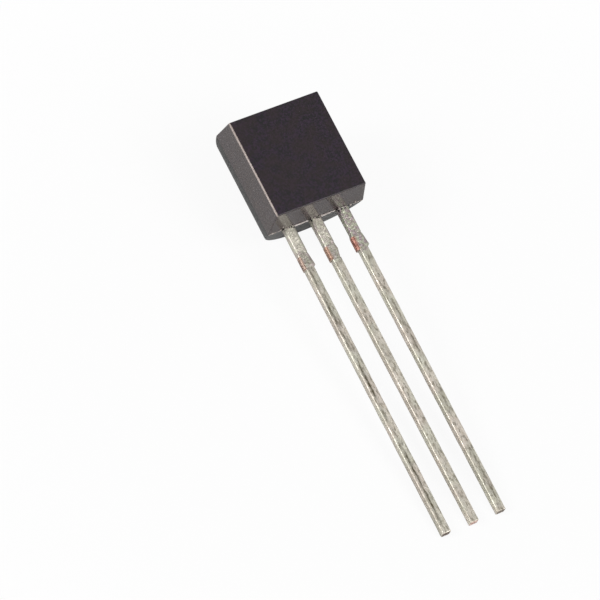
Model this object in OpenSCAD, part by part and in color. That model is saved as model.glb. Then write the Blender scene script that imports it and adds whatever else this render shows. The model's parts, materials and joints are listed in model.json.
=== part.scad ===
// Temperature sensor in a moulded D-shaped body with three straight leads.
//
// The part is modelled lying on a table, as it comes to rest: round back down,
// flat sensing face up, on the lower edge of its back and the tips of its leads.
// The origin is on the table, under the middle of the part. The leads point
// towards -Y and the width runs along X. All lengths are in millimetres.
//
// Inside its own package frame, before it is laid down, y = 0 is the body's lead
// end, z = 0 is the parting plane of the mould and the flat face looks to +Z.

/* [Body] */
// Width of the body at the parting plane
body_w = 4.5; // [3.8:0.05:5.4]
// Height of the body at the parting plane, from its lead end to its top end
body_h = 4.8; // [4:0.05:5.8]
// Depth of the front half, from the parting plane to the flat face
front_d = 1.35; // [1.1:0.05:1.7]
// Depth of the round back half, from the parting plane to its deepest point
back_d = 2.25; // [1.8:0.05:2.7]
// Draft angle of the front half's sides and ends
front_draft = 7; // [3:0.5:12]
// Draft angle of the back half's two ends
back_draft = 11; // [3:0.5:15]
// Radius of the four edges round the flat face
edge_r = 0.07; // [0.03:0.01:0.15]

/* [Gate mark on the top end] */
// Width of the broken-off gate
gate_w = 0.9; // [0.4:0.05:1.4]
// Thickness of the gate, behind the parting plane
gate_t = 0.25; // [0.15:0.05:0.4]
// How far the gate's stump stands out of the top end
gate_stump = 0.04; // [0.02:0.01:0.1]

/* [Leads] */
// Distance between the centrelines of neighbouring leads
lead_pitch = 1.27; // [1.05:0.01:1.55]
// Length of the leads below the body
lead_l = 14.25; // [6:0.25:18]
// Width of a lead below its trimmed stub
lead_w = 0.39; // [0.3:0.01:0.48]
// Thickness of the strip that the lead frame is stamped from
lead_t = 0.38; // [0.25:0.01:0.5]
// Width of a lead's shoulder, between the body and the stub
shoulder_w = 0.47; // [0.38:0.01:0.58]
// Distance from the body to the stub that is left where the dam bar was trimmed off
stub_y = 1.2; // [0.8:0.05:1.8]
// Length of the stub along the lead
stub_l = 0.7; // [0.4:0.05:1]
// How far the stub stands out from the shoulder's left side, on each lead
stub_left = [0.03, 0.03, 0.05]; // [0:0.01:0.1]
// How far the stub stands out from the shoulder's right side, on each lead
stub_right = [0.05, 0.01, 0.05]; // [0:0.01:0.1]
// Length of the slanted break at the lower end of each stub's right side
stub_slant = 0.2; // [0.05:0.05:0.35]

/* [Lead frame inside the body] */
// Distance from the body's lead end to the bonding posts of the outer leads
post_y = 0.85; // [0.6:0.05:1.1]
// Height of a bonding post along the body
post_h = 0.5; // [0.4:0.05:0.7]
// How far a post reaches from its lead's centreline towards the centre lead
post_in = 0.5; // [0.3:0.05:0.55]
// Epoxy left between a post and the side of the body
post_cover = 0.4; // [0.3:0.05:0.6]
// Gap stamped between the posts and the die flag
frame_gap = 0.3; // [0.2:0.05:0.5]
// Width of the die flag at the head of the centre lead
flag_w = 2.2; // [1.7:0.05:2.8]
// Strip of the flag left bare below the die, where the centre wire lands
flag_strip = 0.5; // [0.4:0.05:0.6]
// Strip of the flag left bare above the die
flag_rim = 0.5; // [0.3:0.05:0.6]
// Radius of the flag's top corners
flag_r = 0.25; // [0.1:0.05:0.4]
// Radius of the half-round notches that lock the flag in the epoxy
notch_r = 0.15; // [0.1:0.01:0.2]

/* [Sensor die] */
// Width of the die
die_w = 1.25; // [0.9:0.05:1.5]
// Length of the die along the body
die_l = 1; // [0.8:0.05:1.2]
// Thickness of the die
die_t = 0.25; // [0.2:0.01:0.35]
// Thickness of the conductive epoxy under the die
attach_t = 0.03; // [0.02:0.005:0.05]
// How far the conductive epoxy is squeezed out round the die
attach_rim = 0.05; // [0.02:0.01:0.08]

/* [Bond wires] */
// Diameter of the gold wire
wire_d = 0.03; // [0.025:0.005:0.05]
// Height of a wire's loop above the die
loop_h = 0.2; // [0.12:0.01:0.3]
// Diameter of the ball bond on the die
ball_d = 0.08; // [0.06:0.01:0.12]
// Height of the ball bond
ball_h = 0.02; // [0.015:0.005:0.04]
// Distance between neighbouring bond pads on the die
pad_pitch = 0.42; // [0.3:0.01:0.5]
// Distance from the bond pads to the die's edge nearest the leads
pad_inset = 0.12; // [0.08:0.01:0.2]
// Distance from the flag's lower edge to the centre wire's landing
landing_inset = 0.2; // [0.15:0.01:0.25]

/* [Hidden] */

LEFT = 0;
CENTRE = 1;
RIGHT = 2;

EPOXY = "#3a3337";
TINNED_COPPER = "#b9b3a6";
SILICON = "#59606b";
SILVER_EPOXY = "#9c9a94";
GOLD = "#d9a520";

// Steps in each rounded corner of an outline
corner_steps = 4;
// Facets on the round back and on the bond wires
back_facets = 96;
wire_facets = 24;

// The round back is the arc through both edges of the parting plane and the deepest point
back_r = (pow(body_w / 2, 2) + pow(back_d, 2)) / (2 * back_d);

// The flag starts a stamped gap above the posts and is as high as its strips and the die
flag_y = post_y + post_h + frame_gap;
flag_h = flag_strip + die_l + flag_rim;
post_x = body_w / 2 - post_cover;
post_w = post_x - lead_pitch + post_in;
stub_end = -stub_y - stub_l;

// Heights of the stack on the flag, whose front face lies in the parting plane
die_z = attach_t;
die_top = attach_t + die_t;
die_y = flag_y + flag_strip;
pad_y = die_y + pad_inset;

// At rest the leads' tips and the lower edge of the back touch the table
heel_y = back_d * tan(back_draft);
rest_tilt = atan((back_d - lead_t) / (lead_l + heel_y));
rest_drop = -lead_l * sin(rest_tilt) - lead_t * cos(rest_tilt);
tip_reach = -lead_l * cos(rest_tilt);
top_reach = (body_h + gate_stump) * cos(rest_tilt) + gate_t * sin(rest_tilt);
rest_middle = (tip_reach + top_reach) / 2;

// Width of tool solids that only have to be larger than the part
spare = 1;

function unit(v) = v / norm(v);
function heading(v) = atan2(v.y, v.x);
function lead_x(i) = (i - 1) * lead_pitch;

// Arc of radius r that is tangent to both edges of a corner, for an outline drawn anticlockwise
function corner_arc(before, corner, after, r) =
    let (
        u = unit(before - corner),
        v = unit(after - corner),
        half = acos(u * v) / 2,
        centre = corner + unit(u + v) * r / sin(half),
        first = heading(corner + u * r / tan(half) - centre),
        sweep = 180 - 2 * half
    )
    [for (i = [0 : corner_steps])
        let (a = first + sweep * i / corner_steps)
        centre + r * [cos(a), sin(a)]];

// Outline with each corner rounded to its own radius; a radius of 0 leaves the corner sharp
function rounded(points, radii) =
    let (n = len(points))
    [for (i = [0 : n - 1])
        each radii[i] == 0
            ? [points[i]]
            : corner_arc(points[(i + n - 1) % n], points[i], points[(i + 1) % n], radii[i])];

// Centre of the arc that a bond wire follows, from its pad at [0, 0] up to loop_h
// and down to a landing that lies the die's height lower and span away
function loop_centre(span) =
    let (
        ratio = die_top / loop_h,
        run = span * span + die_top * (die_top + loop_h),
        u = (sqrt(span * span + ratio * run) - span) / ratio
    )
    [u, (loop_h * loop_h - u * u) / (2 * loop_h)];

// Where each wire starts on the die and lands on its lead
function pad(i) = [(i - 1) * pad_pitch, pad_y];
function landing(i) =
    i == CENTRE
        ? [0, flag_y + landing_inset]
        : [(i - 1) * (post_x - post_w / 2), post_y + post_h / 2];

// Lays the package down on the table
module as_it_rests()
    translate([0, -rest_middle, -rest_drop])
        rotate([rest_tilt, 0, 0])
            children();

// D-shaped section across the body: drafted front half, round back
module cross_section() {
    inset = front_d * tan(front_draft);
    polygon(rounded(
        [
            [-body_w / 2, 0],
            [body_w / 2, 0],
            [body_w / 2 - inset, front_d],
            [inset - body_w / 2, front_d]
        ],
        [0, 0, edge_r, edge_r]
    ));
    intersection() {
        translate([0, back_r - back_d])
            circle(r = back_r, $fn = back_facets);
        translate([-body_w, -2 * back_d])
            square([2 * body_w, 2 * back_d]);
    }
}

// Section along the body, which gives both ends their drafts
module side_profile() {
    inset = front_d * tan(front_draft);
    polygon(rounded(
        [
            [0, 0],
            [heel_y, -back_d],
            [body_h - heel_y, -back_d],
            [body_h, 0],
            [body_h - inset, front_d],
            [inset, front_d]
        ],
        [0, 0, 0, 0, edge_r, edge_r]
    ));
}

// Stump of the gate that the epoxy was injected through
module gate_mark()
    translate([-gate_w / 2, body_h - gate_t, -gate_t])
        cube([gate_w, gate_t + gate_stump, gate_t]);

// Outer form of the body, with nothing cut out for what it is moulded round
module body_blank() {
    intersection() {
        translate([0, body_h + spare, 0])
            rotate([90, 0, 0])
                linear_extrude(body_h + 2 * spare)
                    cross_section();
        translate([-body_w / 2 - spare, 0, 0])
            rotate([90, 0, 90])
                linear_extrude(body_w + 2 * spare)
                    side_profile();
    }
    gate_mark();
}

// Outline of one lead from its tip, past the stub, up its shoulder to the height top
module shank(i, top) {
    left = shoulder_w / 2 + stub_left[i];
    right = shoulder_w / 2 + stub_right[i];
    translate([lead_x(i), 0])
        polygon([
            [-lead_w / 2, -lead_l],
            [lead_w / 2, -lead_l],
            [lead_w / 2, stub_end],
            [right, stub_end + stub_slant],
            [shoulder_w / 2, -stub_y],
            [shoulder_w / 2, top],
            [-shoulder_w / 2, top],
            [-shoulder_w / 2, -stub_y],
            [-left, -stub_y],
            [-left, stub_end],
            [-lead_w / 2, stub_end]
        ]);
}

// Wide head of an outer lead that its bond wire lands on
module post(i)
    translate([i == LEFT ? -post_x : post_x - post_w, post_y])
        square([post_w, post_h]);

// Flat head of the centre lead that carries the die
module flag() {
    difference() {
        polygon(rounded(
            [
                [-flag_w / 2, flag_y],
                [flag_w / 2, flag_y],
                [flag_w / 2, flag_y + flag_h],
                [-flag_w / 2, flag_y + flag_h]
            ],
            [0, 0, flag_r, flag_r]
        ));
        for (side = [-1, 1])
            translate([side * flag_w / 2, die_y + die_l / 2])
                circle(r = notch_r, $fn = back_facets);
    }
}

// One stamped lead, its front face in the parting plane
module lead(i)
    translate([0, 0, -lead_t])
        linear_extrude(lead_t) {
            shank(i, i == CENTRE ? flag_y + frame_gap : post_y + post_h);
            if (i == CENTRE)
                flag();
            else
                post(i);
        }

module die()
    translate([-die_w / 2, die_y, die_z])
        cube([die_w, die_l, die_t]);

module attach_pad()
    translate([-die_w / 2 - attach_rim, die_y - attach_rim, 0])
        cube([die_w + 2 * attach_rim, die_l + 2 * attach_rim, attach_t]);

// Ball bond and loop of one wire, both ends run on into the die and the lead
module wire_blank(i) {
    run = landing(i) - pad(i);
    centre = loop_centre(norm(run));
    r = loop_h - centre.y;
    bite = atan(2 * wire_d / r);
    first = heading([norm(run), -die_top] - centre) - bite;
    last = heading(-centre) + bite;
    translate([pad(i).x, pad(i).y, die_top]) {
        cylinder(d = ball_d, h = ball_h, $fn = wire_facets);
        rotate([0, 0, heading(run)])
            rotate([90, 0, 0])
                translate([centre.x, centre.y, 0])
                    rotate([0, 0, first])
                        rotate_extrude(angle = last - first, $fn = back_facets)
                            translate([r, 0])
                                circle(d = wire_d, $fn = wire_facets);
    }
}

// Wire trimmed where it is welded to the die and to its lead
module bond_wire(i)
    difference() {
        wire_blank(i);
        die();
        lead(i);
    }

module epoxy_body()
    color(EPOXY)
        as_it_rests()
            difference() {
                body_blank();
                for (i = [LEFT, CENTRE, RIGHT]) {
                    lead(i);
                    wire_blank(i);
                }
                attach_pad();
                die();
            }

module left_lead()
    color(TINNED_COPPER)
        as_it_rests()
            lead(LEFT);

module centre_lead()
    color(TINNED_COPPER)
        as_it_rests()
            lead(CENTRE);

module right_lead()
    color(TINNED_COPPER)
        as_it_rests()
            lead(RIGHT);

module sensor_die()
    color(SILICON)
        as_it_rests()
            die();

module die_attach()
    color(SILVER_EPOXY)
        as_it_rests()
            attach_pad();

module left_bond_wire()
    color(GOLD)
        as_it_rests()
            bond_wire(LEFT);

module centre_bond_wire()
    color(GOLD)
        as_it_rests()
            bond_wire(CENTRE);

module right_bond_wire()
    color(GOLD)
        as_it_rests()
            bond_wire(RIGHT);

epoxy_body();
left_lead();
centre_lead();
right_lead();
sensor_die();
die_attach();
left_bond_wire();
centre_bond_wire();
right_bond_wire();
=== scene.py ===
# %% [markdown]
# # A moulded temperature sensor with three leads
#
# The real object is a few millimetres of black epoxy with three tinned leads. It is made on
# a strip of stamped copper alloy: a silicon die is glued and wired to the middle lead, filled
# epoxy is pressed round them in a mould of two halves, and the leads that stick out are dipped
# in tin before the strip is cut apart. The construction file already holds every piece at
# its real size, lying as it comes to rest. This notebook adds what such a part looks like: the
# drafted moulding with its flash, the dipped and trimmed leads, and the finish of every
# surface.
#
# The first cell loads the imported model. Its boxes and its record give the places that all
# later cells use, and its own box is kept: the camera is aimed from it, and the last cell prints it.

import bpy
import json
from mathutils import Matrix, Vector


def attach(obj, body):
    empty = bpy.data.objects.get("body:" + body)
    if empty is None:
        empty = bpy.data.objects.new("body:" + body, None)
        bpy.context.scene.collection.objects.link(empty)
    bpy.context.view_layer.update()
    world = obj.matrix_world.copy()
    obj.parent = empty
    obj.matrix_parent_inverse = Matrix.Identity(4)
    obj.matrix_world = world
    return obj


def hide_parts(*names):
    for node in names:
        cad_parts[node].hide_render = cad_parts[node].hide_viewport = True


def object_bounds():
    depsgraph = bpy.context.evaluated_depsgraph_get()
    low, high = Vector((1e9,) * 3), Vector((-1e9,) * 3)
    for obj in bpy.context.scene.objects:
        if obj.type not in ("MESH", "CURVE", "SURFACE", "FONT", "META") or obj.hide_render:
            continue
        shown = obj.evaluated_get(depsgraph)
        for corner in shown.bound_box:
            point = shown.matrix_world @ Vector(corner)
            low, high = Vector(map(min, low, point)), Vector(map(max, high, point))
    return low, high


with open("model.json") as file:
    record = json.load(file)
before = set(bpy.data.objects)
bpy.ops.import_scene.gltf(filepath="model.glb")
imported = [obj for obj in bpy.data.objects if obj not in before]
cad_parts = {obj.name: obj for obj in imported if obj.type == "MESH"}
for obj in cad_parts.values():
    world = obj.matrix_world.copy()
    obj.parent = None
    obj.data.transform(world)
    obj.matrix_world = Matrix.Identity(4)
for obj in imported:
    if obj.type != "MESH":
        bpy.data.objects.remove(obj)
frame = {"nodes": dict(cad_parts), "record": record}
cad_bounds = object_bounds()
print("pieces in the packed model:", ", ".join(sorted(frame["nodes"])))

# %% [markdown]
# ## Working upright, in millimetres
#
# The part lies on a table and slopes down to its lead tips, so its faces are parallel to
# nothing. A designer would draw it in the package's own frame instead: the leads along -Y,
# the flat face to +Z, and the mould's parting plane at z = 0. Millimetres help too, because
# some of Blender's mesh tools merge or drop what is smaller than a fixed length, and the
# details here are a few hundredths of a millimetre. Each new piece is therefore modelled in
# that frame and laid on the table, in metres, by one matrix at the end.
#
# The record's flat face gives the slope. The lead end of the body and the front of the leads
# give the frame's origin.

# %% The package's own frame
import json
import math

import bmesh
import bpy
from mathutils import Matrix, Vector, noise

MM = 0.001

mounts = {mount["name"]: mount for mount in frame["record"]["mounts"]}
face_axis = Vector(mounts["sensing_face"]["axis"])
tilt = math.atan2(-face_axis.y, face_axis.z)
upright = Matrix.Scale(1 / MM, 4) @ Matrix.Rotation(-tilt, 4, "X")


def corners(node, matrix):
    """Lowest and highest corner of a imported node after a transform."""
    points = [matrix @ v.co for v in frame["nodes"][node].data.vertices]
    low = Vector([min(p[i] for p in points) for i in range(3)])
    high = Vector([max(p[i] for p in points) for i in range(3)])
    return low, high


lead_end = corners("epoxy_body", upright)[0].y
parting_plane = corners("centre_lead", upright)[1].z
to_package = Matrix.Translation((0, -lead_end, -parting_plane)) @ upright
to_table = to_package.inverted()
print(f"the package slopes by {math.degrees(tilt):.2f} degrees")

# %% [markdown]
# ## Sizes
#
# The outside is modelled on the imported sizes, so it follows them if they change. One of them
# is corrected here: the real flat face stands a few hundredths of a millimetre further out
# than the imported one.

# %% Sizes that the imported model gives
LEADS = ("left_lead", "centre_lead", "right_lead")
FACE_PROUD = 0.03

body_low, body_high = corners("epoxy_body", to_package)
BODY_W = body_high.x - body_low.x
BODY_H = 2 * (to_package @ Vector(mounts["sensing_face"]["pos_m"])).y
FRONT_D = body_high.z + FACE_PROUD
BACK_D = -body_low.z
GATE_STUMP = body_high.y - BODY_H

lead_low = corners("centre_lead", to_package)[0]
LEAD_L = -lead_low.y
LEAD_T = -lead_low.z
lead_x = {lead: (to_package @ Vector(mounts[f"{lead}_pin"]["pos_m"])).x for lead in LEADS}
print(f"body {BODY_W:.2f} x {BODY_H:.2f} x {FRONT_D + BACK_D:.2f} mm")
print(f"leads {LEAD_L:.2f} mm long and {LEAD_T:.2f} mm thick")
print("leads at x =", [round(x, 2) for x in lead_x.values()])

# %% [markdown]
# ## Camera
#
# The camera looks down on the part from the left of its leads, through a long lens, as for a
# catalogue picture. It is also rolled, so the leads run down to the right. Its distance
# matters as much as its direction, because it sets how much the far end shrinks. The lens then
# follows from how wide a piece of the scene the view should hold.

# %% Camera
CAMERA_TURN = math.radians(-44.23)
CAMERA_HEIGHT = math.radians(57.83)
CAMERA_ROLL = math.radians(18.5)
CAMERA_DISTANCE = 175.4 * MM
VIEW_WIDTH = 24.2 * MM
VIEW_RIGHT = -2.81 * MM
VIEW_UP = 0.41 * MM

low, high = cad_bounds
towards_camera = Vector((
    math.sin(CAMERA_TURN) * math.cos(CAMERA_HEIGHT),
    -math.cos(CAMERA_TURN) * math.cos(CAMERA_HEIGHT),
    math.sin(CAMERA_HEIGHT),
))
turn = towards_camera.to_track_quat("Z", "Y").to_matrix() @ Matrix.Rotation(CAMERA_ROLL, 3, "Z")
view_middle = (low + high) / 2 + turn @ Vector((VIEW_RIGHT, VIEW_UP, 0))

camera = bpy.data.objects.new("camera", bpy.data.cameras.new("camera"))
bpy.context.scene.collection.objects.link(camera)
camera.location = view_middle + CAMERA_DISTANCE * towards_camera
camera.rotation_mode = "QUATERNION"
camera.rotation_quaternion = turn.to_quaternion()
camera.data.lens = camera.data.sensor_width * CAMERA_DISTANCE / VIEW_WIDTH
camera.data.clip_start = 10 * MM
bpy.context.scene.camera = camera
print(f"lens {camera.data.lens:.0f} mm, camera at", [round(x / MM, 1) for x in camera.location], "mm")

# %% [markdown]
# ## Materials: two helpers
#
# Colours are chosen as the hex values of a colour picker, which are in sRGB. Blender's shaders
# work in linear light, so one function turns them. A second one adds a node, sets its values
# and links what feeds it, which keeps each material as readable as a list.

# %% Colour and node helpers
def linear(hex_colour):
    """Linear RGBA from an sRGB hex value such as "#b9b3a6"."""
    channels = [int(hex_colour[i:i + 2], 16) / 255 for i in (1, 3, 5)]
    return [c / 12.92 if c <= 0.04045 else ((c + 0.055) / 1.055) ** 2.4 for c in channels] + [1.0]


def add(tree, kind, inputs=None, **settings):
    """Adds a shader node. An input's value is a number, a colour, a socket or a whole node."""
    node = tree.nodes.new("ShaderNode" + kind)
    for name, value in settings.items():
        setattr(node, name, value)
    for name, value in (inputs or {}).items():
        named = [s for s in node.inputs if s.name == name and s.enabled]
        socket = node.inputs[name] if isinstance(name, int) else named[0]
        if isinstance(value, bpy.types.Node):
            value = next(s for s in value.outputs if s.enabled)
        if isinstance(value, bpy.types.NodeSocket):
            tree.links.new(value, socket)
        else:
            socket.default_value = value
    return node


def new_tree(name):
    """A new material's empty node tree, with the material."""
    material = bpy.data.materials.new(name)
    material.use_nodes = True
    material.node_tree.nodes.clear()
    return material, material.node_tree


print("a mid grey is", [round(c, 3) for c in linear("#808080")])

# %% [markdown]
# ## Studio
#
# The floor is a wide white dish: flat under the part, with a rim that rises far away, so that
# a low camera also sees white. Black epoxy and tin show little but what they reflect. So the
# dish is what makes the body's sides look grey, and the darker, plain sky above it keeps the
# flat face black.
#
# Two questions have different answers near the part. The camera should see a white floor with
# a faint shadow, so there most of the floor's colour is plain white. The underside of the part
# should mirror the shadow it lies in, so for reflections the floor there is nearly all paint.
# Further out, both see plain white.

# %% Floor
DISH_MIDDLE = 0.05
DISH_FLAT = 0.6
DISH_RIM = 0.9
DISH_RISE = 0.3
DISH_SIDES = 96
RISE_STEPS = 12

bm = bmesh.new()
rings = [(DISH_MIDDLE, 0), (DISH_FLAT, 0)]
for step in range(1, RISE_STEPS + 1):
    angle = math.pi / 2 * step / RISE_STEPS
    rings.append((
        DISH_FLAT + (DISH_RIM - DISH_FLAT) * math.sin(angle),
        DISH_RISE * (1 - math.cos(angle)),
    ))
bmesh.ops.create_circle(bm, cap_ends=True, radius=DISH_MIDDLE, segments=DISH_SIDES)
edge = [e for e in bm.edges if e.is_boundary]
for radius, height in rings[1:]:
    grown = bmesh.ops.extrude_edge_only(bm, edges=edge)["geom"]
    edge = [g for g in grown if isinstance(g, bmesh.types.BMEdge)]
    for vert in {v for e in edge for v in e.verts}:
        vert.co = vert.co.xy.normalized().to_3d() * radius + Vector((0, 0, height))
bmesh.ops.recalc_face_normals(bm, faces=bm.faces[:])
for face in bm.faces:
    face.smooth = True
floor_mesh = bpy.data.meshes.new("floor")
bm.to_mesh(floor_mesh)
bm.free()
floor = bpy.data.objects.new("floor", floor_mesh)
bpy.context.scene.collection.objects.link(floor)
print("floor faces:", len(floor_mesh.polygons))

# %% Floor material
NEAR = 10 * MM
FAR = 30 * MM
CAMERA_SHARE = 0.92
MIRROR_SHARE = 0.06

material, tree = new_tree("white_floor_paint")
light_path = add(tree, "LightPath")
place = add(tree, "TexCoord")
distance = add(tree, "VectorMath", {0: place.outputs["Object"]}, operation="LENGTH")
near_shares = {
    "Is Camera Ray": CAMERA_SHARE,
    "Is Glossy Ray": MIRROR_SHARE,
    "Is Transmission Ray": MIRROR_SHARE,
}
shares = []
for ray, near_share in near_shares.items():
    share = add(tree, "MapRange", {
        "Value": distance.outputs["Value"], "From Min": NEAR, "From Max": FAR,
        "To Min": near_share, "To Max": 1.0,
    }, interpolation_type="SMOOTHSTEP")
    shares.append(add(tree, "Math", {0: share, 1: light_path.outputs[ray]}, operation="MULTIPLY"))
share = shares[0]
for other in shares[1:]:
    share = add(tree, "Math", {0: share, 1: other}, operation="ADD", use_clamp=True)
paint = add(tree, "BsdfDiffuse", {"Color": linear("#e2e2e2")})
white = add(tree, "Emission", {"Color": (1, 1, 1, 1), "Strength": 1.0})
mix = add(tree, "MixShader", {0: share, 1: paint, 2: white})
add(tree, "OutputMaterial", {"Surface": mix})
floor_mesh.materials.append(material)
print("floor: plain white from", round(FAR / MM), "mm outwards")

# %% [markdown]
# ## Light
#
# The level is plain: a white card on the floor would render just about white. A third of it
# comes from an even grey sky and the rest from two lamps. They could be area lights, but suns
# light the whole floor alike and never stand in front of a camera. They are made as wide as a
# softbox looks. The key comes from the left and behind, where the rounded left edges of the body and
# the leads mirror it to the camera. The fill comes from the right.

# %% Lamps and sky
SKY = 0.36


def sun(name, direction, width, strength):
    """A soft sun that shines from a direction, as wide as the given angle."""
    lamp = bpy.data.objects.new(name, bpy.data.lights.new(name, "SUN"))
    lamp.data.energy = strength
    lamp.data.angle = math.radians(width)
    lamp.rotation_mode = "QUATERNION"
    lamp.rotation_quaternion = Vector(direction).to_track_quat("Z", "Y")
    bpy.context.scene.collection.objects.link(lamp)
    return lamp


key = sun("key", direction=(-0.76, 0.18, 0.6), width=24, strength=1.6)
fill = sun("fill", direction=(0.37, -0.58, 0.73), width=32, strength=1.6)

world = bpy.data.worlds.new("sky")
bpy.context.scene.world = world
world.use_nodes = True
world.node_tree.nodes.clear()
background = add(world.node_tree, "Background", {"Color": (1, 1, 1, 1), "Strength": SKY})
add(world.node_tree, "OutputWorld", {"Surface": background})
bpy.context.scene.view_settings.view_transform = "Standard"

level = SKY + sum(
    lamp.data.energy * (lamp.rotation_quaternion @ Vector((0, 0, 1))).z / math.pi for lamp in (key, fill)
)
print(f"a white card on the floor renders at {level:.2f}")

# %% [markdown]
# ## Coordinates for the patterns
#
# Grain, streaks and scratches belong to the package's axes: a lead's streaks run along the
# lead, whatever slope it lies at. Every material therefore starts from Object coordinates and
# turns them back into package millimetres with one Mapping node. Its Texture type does the
# inverse of the laying-down matrix. A pattern's scale is then simply one over its size in
# millimetres.

# %% Package millimetres inside a material
package_origin = to_table.to_translation()


def package_millimetres(tree):
    """A node that gives each point's place in the package's frame, in millimetres."""
    place = add(tree, "TexCoord")
    return add(tree, "Mapping", {
        "Vector": place.outputs["Object"],
        "Location": package_origin,
        "Rotation": (tilt, 0, 0),
        "Scale": (MM, MM, MM),
    }, vector_type="TEXTURE")


print("the package's origin lies at", [round(x / MM, 2) for x in package_origin], "mm on the table")

# %% [markdown]
# ## Epoxy moulding compound
#
# The body is epoxy filled with more than half its volume of ground silica, coloured with
# carbon black and pressed into a steel mould. To the eye it is a warm, slightly purple black,
# faintly mottled by its filler at about a tenth of a millimetre. The rest depends on the
# mould. The flat face is spark-eroded, and its grain of a few hundredths spreads reflections
# widely. The drafted sides are polished, so that the part slides out, and they show what
# stands beside them: the pale floor, which turns them grey, and the leads. The round back is
# satin. The mould's corners are hard to polish, so the edges are a little duller than the
# sides.
#
# Three relatives of it show as well. The round along the left edge of the flat is a little
# smoother, and its pale colour is a painted highlight of the key lamp. Where the compound crept
# between the mould halves, only the clear resin could follow: that flash is thin, paler and
# browner, and its pale colour is also a painted glint along the parting line. And where a chip
# broke out, the break is rough, and its near-black colour is painted shade in the hollow.

# %% Epoxy material
FILLER = 0.09
MOULD_GRAIN = 0.035
CLOUD = 0.6
GLOSS_VARIES = 0.03


def epoxy(name, dark, light, warm, roughness, grain_depth):
    """Moulding compound between three colours, with its filler's mottling and its mould's grain."""
    material, tree = new_tree(name)
    where = package_millimetres(tree)
    filler = add(tree, "TexNoise", {
        "Vector": where, "Scale": 1 / FILLER, "Detail": 3.0, "Roughness": 0.65,
    })
    clouds = add(tree, "TexNoise", {"Vector": where, "Scale": 1 / CLOUD, "Detail": 2.0})
    grain = add(tree, "TexNoise", {"Vector": where, "Scale": 1 / MOULD_GRAIN, "Detail": 2.0})
    spread = add(tree, "MapRange", {"Value": filler, "From Min": 0.42, "From Max": 0.58})
    warmth = add(tree, "MapRange", {"Value": clouds, "From Min": 0.4, "From Max": 0.6})
    colour = add(tree, "Mix", {"Factor": spread, "A": linear(dark), "B": linear(light)}, data_type="RGBA")
    warmth = add(tree, "Math", {0: warmth, 1: 0.5}, operation="MULTIPLY")
    colour = add(tree, "Mix", {"Factor": warmth, "A": colour, "B": linear(warm)}, data_type="RGBA")
    gloss = add(tree, "MapRange", {
        "Value": clouds, "From Min": 0.3, "From Max": 0.7,
        "To Min": roughness - GLOSS_VARIES, "To Max": roughness + GLOSS_VARIES,
    })
    bump = add(tree, "Bump", {"Height": grain, "Distance": grain_depth * MM, "Strength": 1.0})
    surface = add(tree, "BsdfPrincipled", {
        "Base Color": colour, "Roughness": gloss, "IOR": 1.58, "Normal": bump,
    })
    add(tree, "OutputMaterial", {"Surface": surface})
    return material


# Each line: name, three colours, roughness, and the grain's depth in millimetres.
epoxies = [
    epoxy("epoxy_polished_mould", "#3b3234", "#423939", "#413733", 0.16, 0.0004),
    epoxy("epoxy_satin_mould", "#242423", "#302f2d", "#2b2a28", 0.42, 0.0015),
    epoxy("epoxy_eroded_mould", "#020003", "#261329", "#1d0a08", 0.5, 0.004),
    epoxy("epoxy_mould_corner", "#3a3133", "#4a4142", "#433936", 0.22, 0.0006),
    # The pale colour of this edge finish is a painted highlight of the key lamp on the flat's left round;
    # its lower roughness is the edge's own.
    epoxy("epoxy_left_edge_painted_highlight", "#928583", "#b0a29a", "#a0928a", 0.35, 0.0006),
    # The flash's pale colour is thin resin, and also a painted glint along the parting line and on the
    # crumbs.
    epoxy("epoxy_resin_flash_painted_glint", "#a0948e", "#c2b8b2", "#ada097", 0.4, 0.002),
    # The break's near-black colour is painted shade in the chips and the pits; the gate's stump shares
    # it.
    epoxy("epoxy_break_painted_shade", "#050304", "#100b0b", "#0a0706", 0.8, 0.006),
]
POLISHED, SATIN, ERODED, CORNER, LEFT_EDGE_HIGHLIGHT, FLASH_AND_GLINT, BREAK_PAINTED_SHADE = range(len(epoxies))
print("epoxy finishes:", [m.name for m in epoxies])

# %% [markdown]
# ## Body: the moulding
#
# One casting, so one mesh. Its section is a D: the front half has straight sides that lean in
# by the mould's draft, and the back is an arc. Each end has two drafts, one for each half of
# the mould, that meet at the parting plane. It could be lofted, but a moulding with flat ends
# is simply the D extruded and cut by four planes. A spin draws the arc, an extrusion makes the
# bar, and each plane is a bisect that closes its own cut.

# %% Body: section and ends
FRONT_DRAFT = math.radians(7)
BACK_DRAFT = math.radians(9.8)
BACK_STEPS = 48
SPARE = 1.0
MERGE = 1e-4

half_w = BODY_W / 2
face_half_w = half_w - FRONT_D * math.tan(FRONT_DRAFT)
back_r = (half_w ** 2 + BACK_D ** 2) / (2 * BACK_D)
arc_centre = Vector((0, -SPARE, back_r - BACK_D))
arc_sweep = math.pi - 2 * math.atan2(arc_centre.z, half_w)


def trim(bm, point, outward):
    """Cuts off what lies beyond a plane, and closes the cut with one face."""
    everything = bm.verts[:] + bm.edges[:] + bm.faces[:]
    cut = bmesh.ops.bisect_plane(
        bm, geom=everything, dist=MERGE, plane_co=point, plane_no=outward, clear_outer=True,
    )
    rim = [g for g in cut["geom_cut"] if isinstance(g, bmesh.types.BMEdge)]
    bmesh.ops.contextual_create(bm, geom=rim)


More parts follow.
